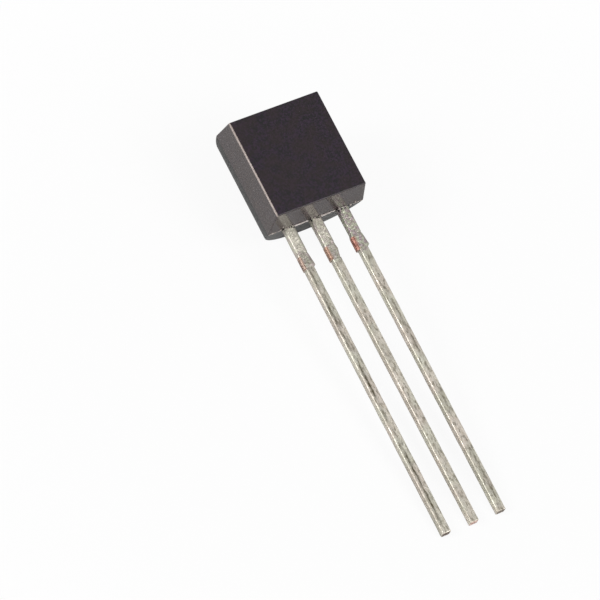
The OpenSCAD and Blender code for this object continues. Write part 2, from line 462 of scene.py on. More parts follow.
body = bmesh.new()
section = [(-half_w, 0), (-face_half_w, FRONT_D), (face_half_w, FRONT_D), (half_w, 0)]
front = [body.verts.new((x, -SPARE, z)) for x, z in section]
for start, end in zip(front, front[1:]):
    body.edges.new((start, end))
bmesh.ops.spin(body, geom=[front[-1]], cent=arc_centre, axis=(0, 1, 0), angle=arc_sweep, steps=BACK_STEPS)
bmesh.ops.remove_doubles(body, verts=body.verts[:], dist=MERGE)
end_face = bmesh.ops.contextual_create(body, geom=body.edges[:])["faces"]
bar = bmesh.ops.extrude_face_region(body, geom=end_face)["geom"]
bmesh.ops.translate(
    body, verts=[g for g in bar if isinstance(g, bmesh.types.BMVert)], vec=(0, BODY_H + 2 * SPARE, 0),
)
for end_y, side in ((0, -1), (BODY_H, 1)):
    trim(body, (0, end_y, 0), (0, side * math.cos(FRONT_DRAFT), math.sin(FRONT_DRAFT)))
    trim(body, (0, end_y, 0), (0, side * math.cos(BACK_DRAFT), -math.sin(BACK_DRAFT)))
bmesh.ops.recalc_face_normals(body, faces=body.faces[:])
print("body blank:", len(body.faces), "faces, volume", round(body.calc_volume(), 2), "mm3")

# %% [markdown]
# ## Body: edges
#
# The mould's edges are never quite sharp. Every edge that turns by more than about 30 degrees
# gets a small round, which leaves the shallow kink at the parting plane alone. The rounds are
# where a lamp glints, so they get more than one segment. Those round the flat face keep its
# eroded finish as long as they still face forwards, apart from the one on the left: it is a
# little smoother, and its pale colour is a painted highlight of the key lamp. The others in the
# front half carry the duller finish of the mould's corners. The bevel leaves the ends of the
# parting plane a thousandth of a millimetre off it, so they are put back.

# %% Body: rounded edges
EDGE_R = 0.055
EDGE_SEGMENTS = 4
EDGE_TURN = math.radians(30)
SNAP = 0.005
FORWARDS = 0.7
PARALLEL = 0.99

turned = [e for e in body.edges if e.calc_face_angle() > EDGE_TURN]
rounds = bmesh.ops.bevel(
    body, geom=turned, offset=EDGE_R, offset_type="OFFSET", segments=EDGE_SEGMENTS, profile=0.5,
    affect="EDGES", material=-1, clamp_overlap=True,
)["faces"]
for vert in body.verts:
    if abs(vert.co.z) < SNAP:
        vert.co.z = 0
for face in body.faces:
    face.smooth = True
    if face.normal.z > PARALLEL:
        face.material_index = ERODED
    elif face.calc_center_median().z < 0:
        face.material_index = SATIN
for face in rounds:
    middle = face.calc_center_median()
    if middle.z > 0.5 * FRONT_D:
        # The left round gets the pale edge finish: a painted highlight of the key lamp.
        if middle.x < -0.9 * face_half_w:
            face.material_index = LEFT_EDGE_HIGHLIGHT
        elif face.normal.z > FORWARDS:
            face.material_index = ERODED
    elif middle.z > 0:
        face.material_index = CORNER
print("rounded edges:", len(turned), "->", len(rounds), "faces")

# %% [markdown]
# ## Body: flash
#
# The two halves of the mould meet at the parting plane, and a film of resin creeps between
# them. It tears off raggedly when the strip is handled, and is left at the two ends, where
# the leads and the gate hold the halves a little apart. In each end, two cuts beside the
# parting plane leave a narrow band. The band is cut across into short lengths, and its middle
# line is pushed out by a noise: nearly whole between the leads, in bits beside them, and none
# where a lead fills the gap in the mould.

# %% Body: flash along the parting plane
FLASH_T = 0.04
FLASH_REACH = 0.055
FLASH_LEAST = 0.008
FLASH_STEP = 0.05
LEAD_FILLS = 0.22
END_ON = 0.9
# How whole the flash is between and beside the leads, and the noises' waves in a millimetre.
WHOLE_BETWEEN = 0.75
WHOLE_BESIDE = 0.1
FLASH_WAVES = 1.7
FLASH_TEARS = 9

for side in (-1, 1):
    ends = [f for f in body.faces if abs(f.normal.y) > END_ON]
    touching = {g for f in ends for g in (*f.edges, *f.verts)}
    bmesh.ops.bisect_plane(
        body, geom=[*ends, *touching], dist=MERGE,
        plane_co=(0, 0, side * FLASH_T / 2), plane_no=(0, 0, 1),
    )


def flash_band():
    """The faces of the narrow bands on both sides of the parting plane, at both ends."""
    low = [f for f in body.faces if all(abs(v.co.z) < FLASH_T / 2 + MERGE for v in f.verts)]
    return [f for f in low if abs(f.normal.y) > END_ON]


along = set()
for edge in {e for f in flash_band() for e in f.edges}:
    if edge.calc_length() > FLASH_STEP:
        along.add(edge)
longest = max(e.calc_length() for e in along)
bmesh.ops.subdivide_edges(body, edges=list(along), cuts=int(longest / FLASH_STEP))

outer_lead = max(lead_x.values())
fin = {v: 0.0 for f in flash_band() for v in f.verts if abs(v.co.z) < MERGE}
for vert in fin:
    inwards = half_w - EDGE_R - abs(vert.co.x)
    at_lead = any(abs(vert.co.x - x) < LEAD_FILLS for x in lead_x.values())
    at_lead_end = vert.co.y < 0.5 * BODY_H
    whole = WHOLE_BETWEEN if abs(vert.co.x) < outer_lead else WHOLE_BESIDE
    whole += 0.5 * noise.noise(vert.co * FLASH_WAVES) + 0.7 * noise.noise(vert.co * FLASH_TEARS)
    if inwards > FLASH_STEP and not (at_lead and at_lead_end):
        fin[vert] = FLASH_REACH * max(0, min(1, whole))
# Where the fin stands proud it gets the pale flash colour, which also paints the parting line's glint.
for face in flash_band():
    proud = max(fin.get(v, 0) for v in face.verts)
    if proud > FLASH_LEAST:
        face.material_index = FLASH_AND_GLINT
for vert, reach in fin.items():
    vert.co.y += math.copysign(reach, vert.co.y - BODY_H / 2)
print("flash:", sum(reach > FLASH_LEAST for reach in fin.values()), "of", len(fin), "points stand proud")

# %% [markdown]
# ## Body: chips and crumbs at the leads
#
# Filled epoxy is brittle, and when the leads are trimmed and straightened it chips where they
# leave the body. So each lead has a small dark hole at its left corner and a thin gap over its
# front, with pale crumbs of resin beside them. A chip is a small ball, roughened by noise, that
# a Boolean cuts from the body, and its inside gets a near-black colour, painted shade in the
# hollow. A crumb is one that it adds, in the flash's pale colour, which also paints small glints.
# Both need the exact solver, which takes any closed mesh and returns a closed one. It leaves a
# few points in the middle of an edge, though, where two faces could be triangulated over each
# other, so such points are dissolved.
#
# The whole body is shaded smooth, and a chip's rim would smear that shading across the faces
# round it. So the edges where two finishes meet are marked sharp.

# %% Body: pebbles
PEBBLE_ROUGH = 0.35
PEBBLE_BUMPS = 1.5
# Two pebbles read the noise this many times as far apart as they lie, so none are alike.
PEBBLES_DIFFER = 40


def pebble(bm, centre, radii, material_index):
    """Adds a small rough ball to a mesh."""
    ball = bmesh.ops.create_icosphere(bm, subdivisions=2, radius=1)["verts"]
    for vert in ball:
        rough = 1 + PEBBLE_ROUGH * noise.noise(vert.co * PEBBLE_BUMPS + Vector(centre) * PEBBLES_DIFFER)
        vert.co = Vector(c + r * rough * v for c, r, v in zip(centre, radii, vert.co))
    for face in {f for v in ball for f in v.link_faces}:
        face.material_index = material_index
        face.smooth = True


def pebbles(places, material_index):
    """The chips, crumbs or pits of a list, as one mesh of pebbles."""
    bm = bmesh.new()
    for lead, sideways, along, height, radii in places:
        pebble(bm, (lead_x[lead] + sideways, along, height), radii, material_index)
    return bm


# Each line: lead, place sideways from its centreline, along it, over the parting plane, radii.
CHIPS = (
    ("left_lead", -0.3, 0, 0.0, (0.08, 0.12, 0.07)),
    ("left_lead", -0.256, 0.04, 0.3, (0.035, 0.05, 0.035)),
    ("left_lead", 0.1, 0, 0.02, (0.05, 0.07, 0.04)),
    ("left_lead", 0.22, 0, 0.0, (0.045, 0.07, 0.045)),
    ("centre_lead", -0.3, 0, 0.0, (0.08, 0.12, 0.07)),
    ("centre_lead", 0.11, 0, 0.02, (0.09, 0.07, 0.045)),
    ("right_lead", -0.3, 0, -0.02, (0.07, 0.12, 0.1)),
    ("right_lead", 0.0, 0, 0.02, (0.17, 0.07, 0.045)),
    ("right_lead", 0.27, 0, -0.02, (0.06, 0.07, 0.05)),
)
CRUMBS = (
    ("left_lead", -0.4, 0, 0.07, (0.04, 0.03, 0.03)),
    ("left_lead", -0.31, 0.03, 0.25, (0.035, 0.03, 0.03)),
    ("left_lead", -0.06, 0, 0.05, (0.05, 0.04, 0.03)),
    ("left_lead", 0.17, 0, 0.07, (0.03, 0.03, 0.03)),
    ("left_lead", -0.78, 0, 0.04, (0.05, 0.04, 0.025)),
    ("left_lead", -0.92, 0, 0.0, (0.03, 0.035, 0.02)),
    ("centre_lead", -0.08, 0, 0.05, (0.05, 0.04, 0.03)),
    ("centre_lead", 0.25, 0, 0.03, (0.04, 0.04, 0.03)),
    ("right_lead", 0.35, 0, 0.0, (0.05, 0.05, 0.04)),
    ("right_lead", 0.55, 0, 0.13, (0.04, 0.04, 0.03)),
)
chips = pebbles(CHIPS, BREAK_PAINTED_SHADE)
crumbs = pebbles(CRUMBS, FLASH_AND_GLINT)
print(len(CHIPS), "chips and", len(CRUMBS), "crumbs,", len(chips.faces) + len(crumbs.faces), "faces")

# %% Body: cutting the chips and adding the crumbs
def boolean(bm, tool, operation, materials):
    """The result of an exact Boolean on one mesh with another. Both are used up."""
    made = []
    for name, source in (("worked", bm), ("tool", tool)):
        mesh = bpy.data.meshes.new(name)
        source.to_mesh(mesh)
        source.free()
        for material in materials:
            mesh.materials.append(material)
        made.append(bpy.data.objects.new(name, mesh))
        bpy.context.scene.collection.objects.link(made[-1])
    modifier = made[0].modifiers.new("work", "BOOLEAN")
    modifier.object = made[1]
    modifier.operation = operation
    modifier.solver = "EXACT"
    result = bmesh.new()
    result.from_object(made[0], bpy.context.evaluated_depsgraph_get())
    for thing in made:
        mesh = thing.data
        bpy.data.objects.remove(thing)
        bpy.data.meshes.remove(mesh)
    bmesh.ops.dissolve_degenerate(result, dist=MERGE, edges=result.edges[:])
    bmesh.ops.dissolve_verts(result, verts=[v for v in result.verts if len(v.link_edges) == 2])
    return result


def crisp(bm, material_index):
    """Keeps the shading of one finish from running over into its neighbours."""
    for face in bm.faces:
        if face.material_index == material_index:
            for edge in face.edges:
                if any(f.material_index != material_index for f in edge.link_faces):
                    edge.smooth = False


body = boolean(body, crumbs, "UNION", epoxies)
body = boolean(body, chips, "DIFFERENCE", epoxies)
crisp(body, FLASH_AND_GLINT)
crisp(body, BREAK_PAINTED_SHADE)
open_edges = sum(not e.is_manifold for e in body.edges)
print("body after its chips:", len(body.faces), "faces,", open_edges, "open edges")

# %% [markdown]
# ## Body: gate
#
# The epoxy came in through a gate in the top end, in the back half of the mould. It is broken
# off and leaves a low rough stump, in the same near-black finish as the chips. A window is cut
# in the end face with four planes, pulled out level with the parting plane and roughened.

# %% Body: stump of the gate
GATE_W = 0.9
GATE_TOP = -0.06
GATE_FOOT = -0.28
GATE_CUTS = 7
GATE_GRAIN = 7
BACK_LEANS = -0.1


def window(bm, face, planes):
    """Cuts one face by planes, and returns the part that lies inside all of them."""
    for point, outward in planes:
        cut = bmesh.ops.bisect_plane(
            bm, geom=[face, *face.edges, *face.verts], dist=MERGE, plane_co=point, plane_no=outward,
        )
        parts = [g for g in cut["geom"] if isinstance(g, bmesh.types.BMFace)]
        face = min(parts, key=lambda f: (f.calc_center_median() - Vector(point)).dot(outward))
    return face


body.normal_update()
top_back = max(
    (f for f in body.faces if f.normal.y > END_ON and f.normal.z < BACK_LEANS),
    key=lambda f: f.calc_area(),
)
gate = window(body, top_back, [
    ((GATE_W / 2, 0, 0), Vector((1, 0, 0))),
    ((-GATE_W / 2, 0, 0), Vector((-1, 0, 0))),
    ((0, 0, GATE_TOP), Vector((0, 0, 1))),
    ((0, 0, GATE_FOOT), Vector((0, 0, -1))),
])
gate = bmesh.ops.extrude_discrete_faces(body, faces=[gate])["faces"][0]
for vert in gate.verts:
    vert.co.y = BODY_H
for face in {f for edge in gate.edges for f in edge.link_faces}:
    face.material_index = BREAK_PAINTED_SHADE
split = bmesh.ops.subdivide_edges(body, edges=gate.edges[:], cuts=GATE_CUTS, use_grid_fill=True)
for vert in [g for g in split["geom_inner"] if isinstance(g, bmesh.types.BMVert)]:
    vert.co.y += GATE_STUMP * min(1, max(0, 0.6 + 0.8 * noise.noise(vert.co * GATE_GRAIN)))
print("gate stump:", len(split["geom_inner"]), "parts")

# %% [markdown]
# ## Hot-dip tin
#
# The leads were dipped in molten tin after moulding, and the strip was then cut apart. Frozen
# tin is a bright, slightly warm metal with grains under a tenth of a millimetre and soft
# lumps where it ran. Flux and air have stained it since: each lead has an olive brown streak
# along it where the flux stood, with dark specks all over, and tints between rose and green.
# The stain is uneven, so stretches of half a millimetre are cleaner or duller than others.
# Metal has no colour of its own but that of its reflections, so what the eye reads as grain is
# mostly roughness and slope. The sides are cleaner than the front. Near the body the film is
# smoother, and where the dam bar was it is greyer.
#
# A material like this could be painted by hand, but a stain that follows from the place on the
# lead fits every lead. So the first function says where on its lead a point lies, and two more
# make the masks of the streak and of the smear beside the cut.

# %% Tin: sizes
# The dam bar's stub, its bare cut and where the wear begins, in millimetres below the body.
STUB_Y = 1.2
STUB_L = 0.7
CUT_TOP = 1.32
CUT_END = 1.92
WEAR_Y = 2.0
WEAR_FADE = 0.2
WEAR_DRAWN = 0.3

# How large the grains, specks, lumps, tints and uneven stretches are, and how high the lumps.
TIN_GRAIN = 0.075
TIN_SPECK = 0.09
TIN_LUMP = 0.2
TIN_PATCH = 1.4
TIN_BLOTCH = 0.16
TIN_UNEVEN = 0.5
LUMP_H = 0.013

# Half widths of the front, out to where the sides begin, and of the flux streak on it.
FRONT_HALF_W = 0.13
SIDE_HALF_W = 0.17
STREAK_HALF_W = 0.075
STREAK_WANDER = 0.15
print(f"bare cut {CUT_TOP} to {CUT_END} mm below the body, worn from {WEAR_Y} mm")

# %% Tin: masks
def places_on_lead(tree, axes, centreline):
    """Place to the right of the centreline; masks of the front, the right side and the worn part."""
    sideways = add(tree, "Math", {0: axes.outputs["X"], 1: centreline}, operation="SUBTRACT")
    aside = add(tree, "Math", {0: sideways}, operation="ABSOLUTE")
    on_front = add(tree, "MapRange", {
        "Value": aside, "From Min": FRONT_HALF_W, "From Max": SIDE_HALF_W, "To Min": 1.0, "To Max": 0.3,
    })
    on_right = add(tree, "MapRange", {
        "Value": sideways, "From Min": SIDE_HALF_W, "From Max": SIDE_HALF_W + 0.02, "To Max": 0.2,
    })
    worn = add(tree, "MapRange", {
        "Value": axes.outputs["Y"], "From Min": -WEAR_Y - WEAR_FADE, "From Max": -WEAR_Y + WEAR_FADE,
        "To Min": 1.0, "To Max": 0.0,
    })
    return sideways, on_front, on_right, worn


def flux_streak(tree, axes, middle, lumps, specks, uneven):
    """Mask of the wandering, broken streak where the flux stood."""
    wander = add(tree, "Math", {0: lumps, 1: 0.5}, operation="SUBTRACT")
    across = add(tree, "Math", {
        0: wander, 1: STREAK_WANDER, 2: axes.outputs["X"],
    }, operation="MULTIPLY_ADD")
    across = add(tree, "Math", {0: across, 1: middle}, operation="SUBTRACT")
    across = add(tree, "Math", {0: across}, operation="ABSOLUTE")
    streak = add(tree, "MapRange", {
        "Value": across, "From Min": 0.01, "From Max": STREAK_HALF_W, "To Min": 1.0, "To Max": 0.0,
    }, interpolation_type="SMOOTHSTEP")
    broken = add(tree, "MapRange", {
        "Value": specks, "From Min": 0.35, "From Max": 0.55, "To Min": 0.5,
    })
    heavy = add(tree, "MapRange", {
        "Value": uneven, "From Min": 0.35, "From Max": 0.65, "To Min": 0.4, "To Max": 1.5,
    })
    streak = add(tree, "Math", {0: streak, 1: broken}, operation="MULTIPLY")
    return add(tree, "Math", {0: streak, 1: heavy}, operation="MULTIPLY")


def cut_smear(tree, axes, sideways, lumps):
    """Mask of the smear on the left of the front, beside the cut."""
    smeared = add(tree, "Math", {0: lumps, 1: 0.12, 2: sideways}, operation="MULTIPLY_ADD")
    smeared = add(tree, "MapRange", {
        "Value": smeared, "From Min": -0.14, "From Max": -0.03, "To Min": 1.0, "To Max": 0.0,
    })
    at_cut = add(tree, "Math", {0: axes.outputs["Y"], 1: (CUT_TOP + CUT_END) / 2}, operation="ADD")
    at_cut = add(tree, "Math", {0: at_cut}, operation="ABSOLUTE")
    at_cut = add(tree, "MapRange", {
        "Value": at_cut, "From Min": 0.25, "From Max": 0.33, "To Min": 0.85, "To Max": 0.0,
    })
    return add(tree, "Math", {0: smeared, 1: at_cut}, operation="MULTIPLY")


# %% [markdown]
# ## Hot-dip tin: the layers
#
# The material itself draws its patterns and then lays its colours over each other: the tin with
# its grains, the tints of the film, the root brightened by painted light, the dull stretches,
# the specks and the streak, the grey of the dam bar, the smear of the cut, and last painted shade
# towards the back edge, on the right side and on the left side. A finish is one line for each
# lead, because the three leads have aged differently and lie in different light.

# %% Tin: material
def hot_dip_tin(name, centreline, streak, stain, root, blotch, root_side_shade, lower_side_shade, smear):
    """Tinned lead with its dark flux streak a given way off the lead's centreline."""
    material, tree = new_tree(name)
    where = package_millimetres(tree)
    axes = add(tree, "SeparateXYZ", {"Vector": where})
    sideways, on_front, on_right, worn = places_on_lead(tree, axes, centreline)

    # Below the stub the patterns are drawn out along the lead, from where the wear begins.
    drawn = add(tree, "Mapping", {
        "Vector": where, "Scale": (1, WEAR_DRAWN, 1), "Location": (0, (WEAR_DRAWN - 1) * WEAR_Y, 0),
    })
    drawn = add(tree, "Mix", {"Factor": worn, "A": where, "B": drawn}, data_type="VECTOR")
    lumps = add(tree, "TexNoise", {
        "Vector": drawn, "Scale": 1 / TIN_LUMP, "Detail": 3.0, "Roughness": 0.6,
    })
    grain = add(tree, "TexNoise", {
        "Vector": drawn, "Scale": 1 / TIN_GRAIN, "Detail": 2.0, "Roughness": 0.6,
    })
    specks = add(tree, "TexNoise", {
        "Vector": drawn, "Scale": 1 / TIN_SPECK, "Detail": 2.0, "Roughness": 0.7,
    })
    uneven = add(tree, "TexNoise", {"Vector": drawn, "Scale": 1 / TIN_UNEVEN, "Detail": 2.0})
    patches = add(tree, "TexNoise", {"Vector": where, "Scale": 1 / TIN_PATCH, "Detail": 2.0})
    blotches = add(tree, "TexNoise", {"Vector": where, "Scale": 1 / TIN_BLOTCH, "Detail": 1.0})

    # The tin between its grains, and the tints of the film.
    fresh = add(tree, "MapRange", {"Value": grain, "From Min": 0.35, "From Max": 0.6})
    colour = add(tree, "Mix", {
        "Factor": fresh, "A": linear("#cfc8b8"), "B": linear("#fbf6ea"),
    }, data_type="RGBA")
    rosy = add(tree, "MapRange", {"Value": patches, "From Min": 0.42, "From Max": 0.58})
    tint = add(tree, "Mix", {
        "Factor": rosy, "A": linear("#e4e6d6"), "B": linear("#eee0d8"),
    }, data_type="RGBA")
    pink = add(tree, "MapRange", {"Value": blotches, "From Min": 0.42, "From Max": 0.58})
    iris = add(tree, "Mix", {
        "Factor": pink, "A": linear("#dfe8cf"), "B": linear("#c9b3c1"),
    }, data_type="RGBA")
    near_body = add(tree, "Math", {0: worn, 1: -blotch, 2: blotch}, operation="MULTIPLY_ADD")

    # The root brightened by painted light, the dull stretches, the specks and the streak.
    # Painted light: near the body the front is painted lighter, standing in for light that reaches the
    # root past the body's shade. Fewer specks show where it is.
    root_light = add(tree, "Math", {0: lumps, 1: 0.6, 2: axes.outputs["Y"]}, operation="MULTIPLY_ADD")
    root_light = add(tree, "MapRange", {
        "Value": root_light, "From Min": -0.9, "From Max": -0.75, "To Min": 0.0, "To Max": root,
    })
    root_light = add(tree, "Math", {0: root_light, 1: on_front}, operation="MULTIPLY")
    dull = add(tree, "MapRange", {"Value": uneven, "From Min": 0.4, "From Max": 0.64, "To Max": 0.26})
    fewer = add(tree, "Math", {0: root_light, 1: -0.5, 2: 1.0}, operation="MULTIPLY_ADD")
    speckled = add(tree, "MapRange", {"Value": specks, "From Min": 0.5, "From Max": 0.64, "To Max": 0.75})
    for share in (on_front, fewer):
        speckled = add(tree, "Math", {0: speckled, 1: share}, operation="MULTIPLY")
    stained = flux_streak(tree, axes, centreline + streak, lumps, specks, uneven)
    for share in (worn, on_front, stain):
        stained = add(tree, "Math", {0: stained, 1: share}, operation="MULTIPLY")

    # The dam bar's place, painted shade towards the back edge and on the right side, and painted shade on
    # the left side.
    at_dam = add(tree, "Math", {0: axes.outputs["Y"], 1: STUB_Y + STUB_L / 2}, operation="ADD")
    at_dam = add(tree, "Math", {0: at_dam}, operation="ABSOLUTE")
    at_dam = add(tree, "MapRange", {
        "Value": at_dam, "From Min": 0.3, "From Max": 0.5, "To Min": 0.2, "To Max": 0.0,
    }, interpolation_type="SMOOTHSTEP")
    painted_edge_shade = add(tree, "MapRange", {
        "Value": axes.outputs["Z"], "From Min": -0.36, "From Max": -0.27, "To Min": 0.7, "To Max": 0.0,
    })
    painted_edge_shade = add(tree, "Math", {0: painted_edge_shade, 1: on_right}, operation="MAXIMUM")
    # Painted shade on the left side: at the root, where the body's shadow falls on it, and further down
    # by each lead's own amount.
    shade = add(tree, "Math", {
        0: worn, 1: lower_side_shade - root_side_shade, 2: root_side_shade,
    }, operation="MULTIPLY_ADD")
    on_left = add(tree, "MapRange", {
        "Value": sideways, "From Min": -0.24, "From Max": -0.12, "To Min": 1.0, "To Max": 0.0,
    })
    shade = add(tree, "Math", {0: shade, 1: on_left}, operation="MULTIPLY")

    # Each line: how much of a layer covers what lies under it, and the layer's colour.
    layers = (
        (0.4, tint),
        (near_body, iris),
        (root_light, linear("#fdf9ea")),
        (dull, linear("#8f8878")),
        (speckled, linear("#8f8878")),
        (stained, linear("#5d563f")),
        (at_dam, linear("#8e8580")),
        (cut_smear(tree, axes, sideways, lumps), linear(smear)),
        (painted_edge_shade, linear("#5f594f")),
        (shade, linear("#6f685f")),
    )
    for cover, layer in layers:
        colour = add(tree, "Mix", {"Factor": cover, "A": colour, "B": layer}, data_type="RGBA")

    # The grains differ in roughness, and the lumps stand three times as high as the grains.
    gloss = add(tree, "MapRange", {
        "Value": grain, "From Min": 0.3, "From Max": 0.7, "To Min": 0.7, "To Max": 0.45,
    })
    height = add(tree, "Math", {0: lumps, 1: 3.0, 2: grain}, operation="MULTIPLY_ADD")
    bump = add(tree, "Bump", {"Height": height, "Distance": LUMP_H * MM, "Strength": on_front})
    surface = add(tree, "BsdfPrincipled", {
        "Base Color": colour, "Metallic": 1.0, "Roughness": gloss, "Normal": bump,
    })
    add(tree, "OutputMaterial", {"Surface": surface})
    return material


# %% Tin: one finish for each lead
# Each line also sets the painted light at the lead's root and the painted shade on its left side, at the
# root and further down.
FINISH = {
    "left_lead": dict(
        streak=-0.06, stain=0.68, root=0.7, blotch=0.35, root_side_shade=0.0, lower_side_shade=0.18, smear="#e2c6ba",
    ),
    "centre_lead": dict(
        streak=0.045, stain=0.06, root=0.55, blotch=0.4, root_side_shade=0.17, lower_side_shade=0.0, smear="#d9b5a0",
    ),
    "right_lead": dict(
        streak=0.02, stain=0.3, root=0.2, blotch=0.75, root_side_shade=0.27, lower_side_shade=0.0, smear="#e0aa98",
    ),
}
tin = {lead: hot_dip_tin(f"hot_dip_tin_{lead}", lead_x[lead], **FINISH[lead]) for lead in LEADS}
print("tin:", [m.name for m in tin.values()])

# %% [markdown]
# ## Cut copper
#
# Until the strip was cut apart, a bar of copper alloy across the leads dammed the epoxy. The
# press sheared it off beside each lead, after the dip, so the cut faces are bare copper. A
# shear leaves fine scores along the blade's way, and smears a little tin over the copper from
# the edge it came in by. The three cuts have aged differently, from brown to salmon, and so
# have the tips, where the leads were cut to length.

# %% Copper material
SCORE = 0.03
SCORE_H = 0.002
TARNISH = 0.15


def cut_copper(name, bright, dark):
    """Sheared copper with scores through the strip's thickness."""
    material, tree = new_tree(name)
    where = package_millimetres(tree)
    drawn = add(tree, "Mapping", {"Vector": where, "Scale": (1, 1, 0.15)})
    scores = add(tree, "TexNoise", {"Vector": drawn, "Scale": 1 / SCORE, "Detail": 2.0})
    patches = add(tree, "TexNoise", {"Vector": where, "Scale": 1 / TARNISH, "Detail": 3.0})
    blend = add(tree, "Math", {0: scores, 1: patches}, operation="MULTIPLY")
    fresh = add(tree, "MapRange", {"Value": blend, "From Min": 0.17, "From Max": 0.33})
    colour = add(tree, "Mix", {"Factor": fresh, "A": linear(dark), "B": linear(bright)}, data_type="RGBA")
    bump = add(tree, "Bump", {"Height": scores, "Distance": SCORE_H * MM, "Strength": 1.0})
    surface = add(tree, "BsdfPrincipled", {
        "Base Color": colour, "Metallic": 1.0, "Roughness": 0.58, "Normal": bump,
    })
    add(tree, "OutputMaterial", {"Surface": surface})
    return material


copper = {
    "left_lead": cut_copper("cut_copper_smeared", "#c9b2a4", "#7d685e"),
    "centre_lead": cut_copper("cut_copper_brown", "#c7a693", "#8a6e60"),
    "right_lead": cut_copper("cut_copper_salmon", "#d6a393", "#875a50"),
}
tip = {
    "left_lead": cut_copper("cut_tip_brown", "#a3948a", "#5b4c44"),
    "centre_lead": cut_copper("cut_tip_rosy", "#efd5ca", "#bd9c92"),
    "right_lead": cut_copper("cut_tip_grey", "#bdb3a8", "#6b6058"),
}
# The pits in the tin take the epoxy break's near-black colour: painted shade in the hollows.
finishes = {lead: [tin[lead], copper[lead], tip[lead], epoxies[BREAK_PAINTED_SHADE]] for lead in LEADS}
TIN, COPPER, TIP, PIT = range(4)
print("cut faces:", [m.name for m in (*copper.values(), *tip.values())])

# %% [markdown]
# ## Leads
#
# A lead is one stamped strip: a bar with a wider shoulder at the body, the stub of the dam bar
# between them, and inside the body a wide head, where the die or a bond wire sits. The dip
# rounds the outside part, because molten tin pulls itself thin at the edges and thick in the
# middle. A superellipse is just that section, a square with soft corners and slightly crowned
# faces, and with a high power it is as sharp as the stamped part inside the epoxy.
#
# So each lead is lofted: a circle becomes the section at the tip, and its cap is extruded from
# row to row, each row with its own reach to the left and to the right. A row is a place along
# the lead, so the sizes below read like the strip's drawing. The press was not exact: each
# stub reaches its own way to either side and ends in its own slope, and two of the leads lean
# by a few hundredths of a millimetre.

# %% Leads: sizes
LEAD_W = 0.39
SHOULDER_W = 0.47
ROOT_L = 0.2

# The stub: how far each reaches to either side, how it slopes at its foot and begins at its top.
STUB_LEFT = {"left_lead": 0.02, "centre_lead": 0.03, "right_lead": 0.065}
STUB_RIGHT = {"left_lead": 0.075, "centre_lead": 0.045, "right_lead": 0.095}
STUB_SLANT = {"left_lead": 0.1, "centre_lead": 0.4, "right_lead": 0.1}
STUB_BURR = 0.02
STUB_ROUND = 0.12
STUB_RISE = {"left": 0.4, "right": 0.3}

# How far each lead lies to the right, at the body and at its tip.
LEAN = {"left_lead": (0.03, -0.025), "centre_lead": (0, 0), "right_lead": (0.012, -0.015)}

# Inside the body: where the stamped section begins, the post, and the die flag.
SEAT = 0.02
POST_H = 0.5
FLAG_STRIP = 0.5
FLAG_R = 0.25
NOTCH_R = 0.15

# The loft: steps between rows, the height of a ledge, points in a section, and its powers.
ROW_STEP = 0.05
HEAD_STEP = 0.03
LEDGE = 0.01
RING = 48
TINNED_POWER = 7
STUB_POWER = 3.5
STAMPED_POWER = 60
print(f"a lead is {LEAD_W} mm wide, and {SHOULDER_W} mm at its shoulder")

# %% Leads: rows
def lean(lead, y):
    """How far a lead that isn't quite straight lies to the right at some place along it."""
    start, end = LEAN[lead]
    return start * max(0, 1 - y / POST_H) if y > 0 else start + (end - start) * -y / LEAD_L


def finely(rows, step):
    """The same rows with more between them, at most a step apart."""
    fine = [rows[0]]
    for last, row in zip(rows, rows[1:]):
        count = max(1, math.ceil((row[0] - last[0]) / step))
        for i in range(1, count + 1):
            fine.append(tuple(a + (b - a) * i / count for a, b in zip(last, row)))
    return fine


def shank_rows(lead):
    """Rows outside the body: place along the lead, reach to its left and right, section power."""
    bar = LEAD_W / 2
    left = right = SHOULDER_W / 2
    stub_left, stub_right = left + STUB_LEFT[lead], right + STUB_RIGHT[lead]
    stub_end = -STUB_Y - STUB_L - STUB_BURR
    rows = finely([
        (-LEAD_L, bar, bar, TINNED_POWER),
        (stub_end - LEDGE, bar, bar, TINNED_POWER),
        (stub_end, stub_left, bar, STUB_POWER),
        (stub_end + STUB_SLANT[lead], stub_left, stub_right, STUB_POWER),
        (-STUB_Y - STUB_ROUND, stub_left, right + STUB_RISE["right"] * STUB_RIGHT[lead], STUB_POWER),
        (-STUB_Y, left + STUB_RISE["left"] * STUB_LEFT[lead], right, STUB_POWER),
        (-STUB_Y + LEDGE, left, right, TINNED_POWER),
        (-ROOT_L, left, right, TINNED_POWER),
    ], ROW_STEP)
    return rows + finely([rows[-1], (0, *rows[-1][1:])], HEAD_STEP)[1:]


def post_rows(lead):
    """Rows of an outer lead's bonding post."""
    low, high = corners(lead, to_package)
    left, right = lead_x[lead] - low.x, high.x - lead_x[lead]
    shoulder = SHOULDER_W / 2
    return [
        (high.y - POST_H, shoulder, shoulder),
        (high.y - POST_H + LEDGE, left, right),
        (high.y, left, right),
    ]


def flag_rows(lead):
    """Rows of the die flag, with its locking notches and its rounded top corners."""
    high = corners(lead, to_package)[1]
    die_low, die_high = corners("sensor_die", to_package)
    foot, notch_y = die_low.y - FLAG_STRIP, (die_low.y + die_high.y) / 2
    shoulder = SHOULDER_W / 2
    rows = [(foot, shoulder, shoulder)]
    for y, *_ in finely([(foot + LEDGE,), (high.y,)], HEAD_STEP):
        into_notch = max(0, NOTCH_R ** 2 - (y - notch_y) ** 2)
        into_corner = max(0, y - (high.y - FLAG_R))
        half = high.x - math.sqrt(into_notch) - FLAG_R + math.sqrt(FLAG_R ** 2 - into_corner ** 2)
        rows.append((y, half, half))
    return rows


for lead in LEADS:
    print(lead, len(shank_rows(lead)), "rows outside the body")

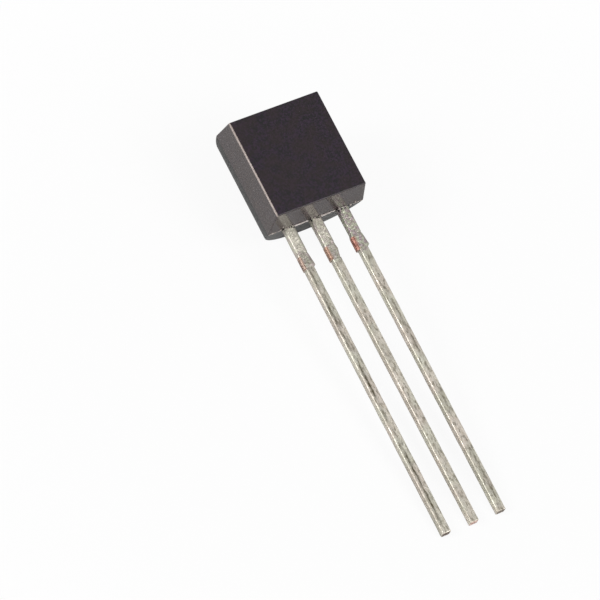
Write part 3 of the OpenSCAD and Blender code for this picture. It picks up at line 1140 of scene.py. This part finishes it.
# %% [markdown]
# ## Leads: the loft
#
# A circle's points are spread evenly, but a square section needs most of them at its corners,
# so they are crowded there first. Each point keeps its own turn round the section in a layer
# of the mesh, and every row places it from that. After the loft the tip gets its round, and
# the left side of the stub gets the finish of the bare cut.

# %% Leads: loft
TIP_R = {"left_lead": 0.09, "centre_lead": 0.03, "right_lead": 0.03}
TIP_SEGMENTS = 4
CUT_ROUND = {"left_lead": 0.11, "centre_lead": 0.11, "right_lead": 0.13}
CUT_SLOPE = 0.25


def crowded(turn):
    """Moves the points of a circle towards the four corners of the section."""
    across, through = math.cos(turn), math.sin(turn)
    return math.atan2(
        math.copysign(math.sqrt(abs(through)), through), math.copysign(math.sqrt(abs(across)), across),
    )


def loft(lead, rows):
    """A closed strip through rows of (place, left reach, right reach, section power)."""
    bm = bmesh.new()
    turned = bm.verts.layers.float.new("turned")
    bmesh.ops.create_circle(bm, cap_ends=True, radius=1, segments=RING)
    for vert in bm.verts:
        vert[turned] = crowded(math.atan2(vert.co.y, vert.co.x))
    cap = bm.faces[:]
    for number, (y, left, right, power) in enumerate(rows):
        if number:
            grown = bmesh.ops.extrude_face_region(bm, geom=cap)["geom"]
            if number > 1:
                bmesh.ops.delete(bm, geom=cap, context="FACES_ONLY")
            cap = [g for g in grown if isinstance(g, bmesh.types.BMFace)]
        for vert in cap[0].verts:
            across, through = math.cos(vert[turned]), math.sin(vert[turned])
            radius = (abs(across) ** power + abs(through) ** power) ** (-1 / power)
            x = across * radius * (right if across > 0 else left)
            vert.co = (lead_x[lead] + lean(lead, y) + x, y, (through * radius - 1) * LEAD_T / 2)
    bmesh.ops.recalc_face_normals(bm, faces=bm.faces[:])
    return bm


def lead_mesh(lead):
    """One lead: tinned outside the body, stamped inside it."""
    head = flag_rows(lead) if lead == "centre_lead" else post_rows(lead)
    rows = shank_rows(lead)
    rows += [(SEAT, SHOULDER_W / 2, SHOULDER_W / 2, STAMPED_POWER)]
    rows += [(*row, STAMPED_POWER) for row in head]
    bm = loft(lead, rows)
    end = min(bm.faces, key=lambda f: f.calc_center_median().y)
    end.material_index = TIP
    bmesh.ops.bevel(
        bm, geom=end.edges[:], offset=TIP_R[lead], offset_type="OFFSET", segments=TIP_SEGMENTS,
        profile=0.5, affect="EDGES", material=-1, clamp_overlap=True,
    )
    bmesh.ops.dissolve_degenerate(bm, dist=MERGE, edges=bm.edges[:])
    cut = lead_x[lead] + lean(lead, -CUT_TOP) - SHOULDER_W / 2 - STUB_LEFT[lead] + CUT_ROUND[lead]
    for face in bm.faces:
        face.smooth = True
        middle = face.calc_center_median()
        if middle.x < cut and -CUT_END < middle.y < -CUT_TOP + CUT_SLOPE * middle.z:
            face.material_index = COPPER
    return bm


spread = [round(math.degrees(crowded(math.radians(turn)))) for turn in (0, 7.5, 15, 22.5, 30)]
print("the first points of the section turn to", spread, "degrees")

# %% [markdown]
# ## Leads: the film and its pits
#
# Molten tin freezes in soft lumps a few microns high. They are too broad for a bump in the
# material, because they bend the lead's outline and its highlights, so the skin itself moves
# in and out along its normals. The lumps fade out towards the body, where the film is thin,
# and the bare cut has none.
#
# At the root, where the epoxy chipped, the film is chipped too. The pits are more pebbles, cut
# out with the same Boolean.

# %% Leads: the frozen film of tin
FILM_LUMP = 0.007
FILM_GRAIN = 0.0015
FILM_FADE = 0.15
# The noises' waves in a millimetre: the lumps are drawn out along the lead.
LUMPS_ACROSS = 4
LUMPS_ALONG = 1.6
GRAINS = 14


def freeze_film(bm, seed):
    """Moves the outside part's skin in and out by the lumps that the tin froze with."""
    bm.normal_update()
    waves = Matrix.Diagonal((LUMPS_ACROSS, LUMPS_ALONG, LUMPS_ACROSS))
    for vert in bm.verts:
        bare = any(f.material_index == COPPER for f in vert.link_faces)
        out = 0 if bare else min(1, max(0, -vert.co.y / FILM_FADE))
        lump = noise.noise(waves @ vert.co + seed)
        grain = noise.noise(vert.co * GRAINS + seed)
        vert.co += vert.normal * out * (FILM_LUMP * lump + FILM_GRAIN * grain)


print(f"film: lumps up to {FILM_LUMP} mm, grains up to {FILM_GRAIN} mm")

# %% Leads: pits, and the finished meshes
# Each line: lead, place sideways from its centreline, along it, over its front, radii.
PITS = (
    ("left_lead", -0.22, -0.03, 0.02, (0.06, 0.06, 0.05)),
    ("left_lead", 0.0, -0.01, 0.0, (0.07, 0.015, 0.02)),
    ("left_lead", 0.12, -0.02, 0.0, (0.035, 0.03, 0.03)),
    ("left_lead", 0.2, -0.08, 0.0, (0.03, 0.03, 0.03)),
    ("centre_lead", -0.235, -0.03, -0.01, (0.06, 0.07, 0.07)),
    ("centre_lead", 0.06, -0.03, 0.0, (0.05, 0.02, 0.03)),
    ("centre_lead", 0.17, -0.045, 0.0, (0.04, 0.02, 0.03)),
    ("right_lead", -0.235, -0.05, -0.03, (0.05, 0.12, 0.08)),
    ("right_lead", -0.08, -0.05, 0.0, (0.07, 0.025, 0.03)),
    ("right_lead", 0.07, -0.06, 0.0, (0.055, 0.025, 0.03)),
)
leads = {}
for number, lead in enumerate(LEADS):
    leads[lead] = lead_mesh(lead)
    freeze_film(leads[lead], seed=Vector((17 * number, 0, 5)))  # another part of the noise for each
    pits = pebbles([place for place in PITS if place[0] == lead], PIT)
    leads[lead] = boolean(leads[lead], pits, "DIFFERENCE", finishes[lead])
    crisp(leads[lead], PIT)
    open_edges = sum(not e.is_manifold for e in leads[lead].edges)
    print(lead, len(leads[lead].faces), "faces,", open_edges, "open edges")

# %% [markdown]
# ## Laying the pieces on the table
#
# Each mesh now turns from the package's frame to the table's. The piece rides on the one body
# that this part has, and the imported piece that it stands for is hidden.
#
# All faces are shaded smooth, so edges that turn sharply are marked, and the body's flat faces
# get their shading back from the rounds beside them with a modifier that weighs each face's
# normal by its area.

# %% Pieces
SHARP_TURN = math.radians(35)


def lay(name, bm, materials, node):
    """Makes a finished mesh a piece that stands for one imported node."""
    bm.transform(to_table)
    for edge in bm.edges:
        if edge.calc_face_angle(0) > SHARP_TURN:
            edge.smooth = False
    mesh = bpy.data.meshes.new(name)
    bm.to_mesh(mesh)
    bm.free()
    for material in materials:
        mesh.materials.append(material)
    piece = bpy.data.objects.new(name, mesh)
    bpy.context.scene.collection.objects.link(piece)
    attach(piece, "root")
    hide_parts(node)
    print(name, len(mesh.polygons), "faces")
    return piece


moulding = lay("moulded_body", body, epoxies, "epoxy_body")
moulding.modifiers.new("shading", "WEIGHTED_NORMAL").keep_sharp = True
for lead in LEADS:
    lay(f"tinned_{lead}", leads[lead], finishes[lead], lead)

# %% [markdown]
# ## What the body hides
#
# The die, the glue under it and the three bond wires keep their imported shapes, because these
# are already true: a sawn block, a squeezed pad and loops of drawn wire. They need only their
# own materials. Polished silicon is a dark blue grey and reflects strongly, silver epoxy is a
# dull grey paste full of flakes, and gold wire is smooth. No one sees them in the closed body,
# so one simple function makes all three.

# %% Materials of the hidden pieces
def inner(name, colour, speckle, size, roughness, metallic):
    """A simple finish with a speckle of a real size, for the pieces inside the body."""
    material, tree = new_tree(name)
    where = package_millimetres(tree)
    flakes = add(tree, "TexNoise", {"Vector": where, "Scale": 1 / size, "Detail": 2.0})
    share = add(tree, "MapRange", {"Value": flakes, "From Min": 0.4, "From Max": 0.6})
    tint = add(tree, "Mix", {
        "Factor": share, "A": linear(colour), "B": linear(speckle),
    }, data_type="RGBA")
    surface = add(tree, "BsdfPrincipled", {
        "Base Color": tint, "Roughness": roughness, "Metallic": metallic,
    })
    add(tree, "OutputMaterial", {"Surface": surface})
    return material


# Each line: name, two colours, the speckle's size in millimetres, roughness, metallic.
silicon = inner("polished_silicon", "#3c4350", "#4a5260", 0.2, 0.12, 1.0)
silver_epoxy = inner("silver_filled_epoxy", "#8f8d88", "#bdbab2", 0.02, 0.5, 0.6)
gold = inner("drawn_gold", "#e0a83a", "#edbb55", 0.05, 0.2, 1.0)
hidden = {"sensor_die": silicon, "die_attach": silver_epoxy}
hidden |= {f"{side}_bond_wire": gold for side in ("left", "centre", "right")}
for node, material in hidden.items():
    mesh = frame["nodes"][node].data
    mesh.materials.clear()
    mesh.materials.append(material)
print("hidden pieces:", list(hidden))

# %% [markdown]
# ## Sizes, and the end
#
# The last step prints the imported model's box.

# %% Sizes, and the end
print("CAD box", [[round(x / MM, 3) for x in c] for c in cad_bounds])
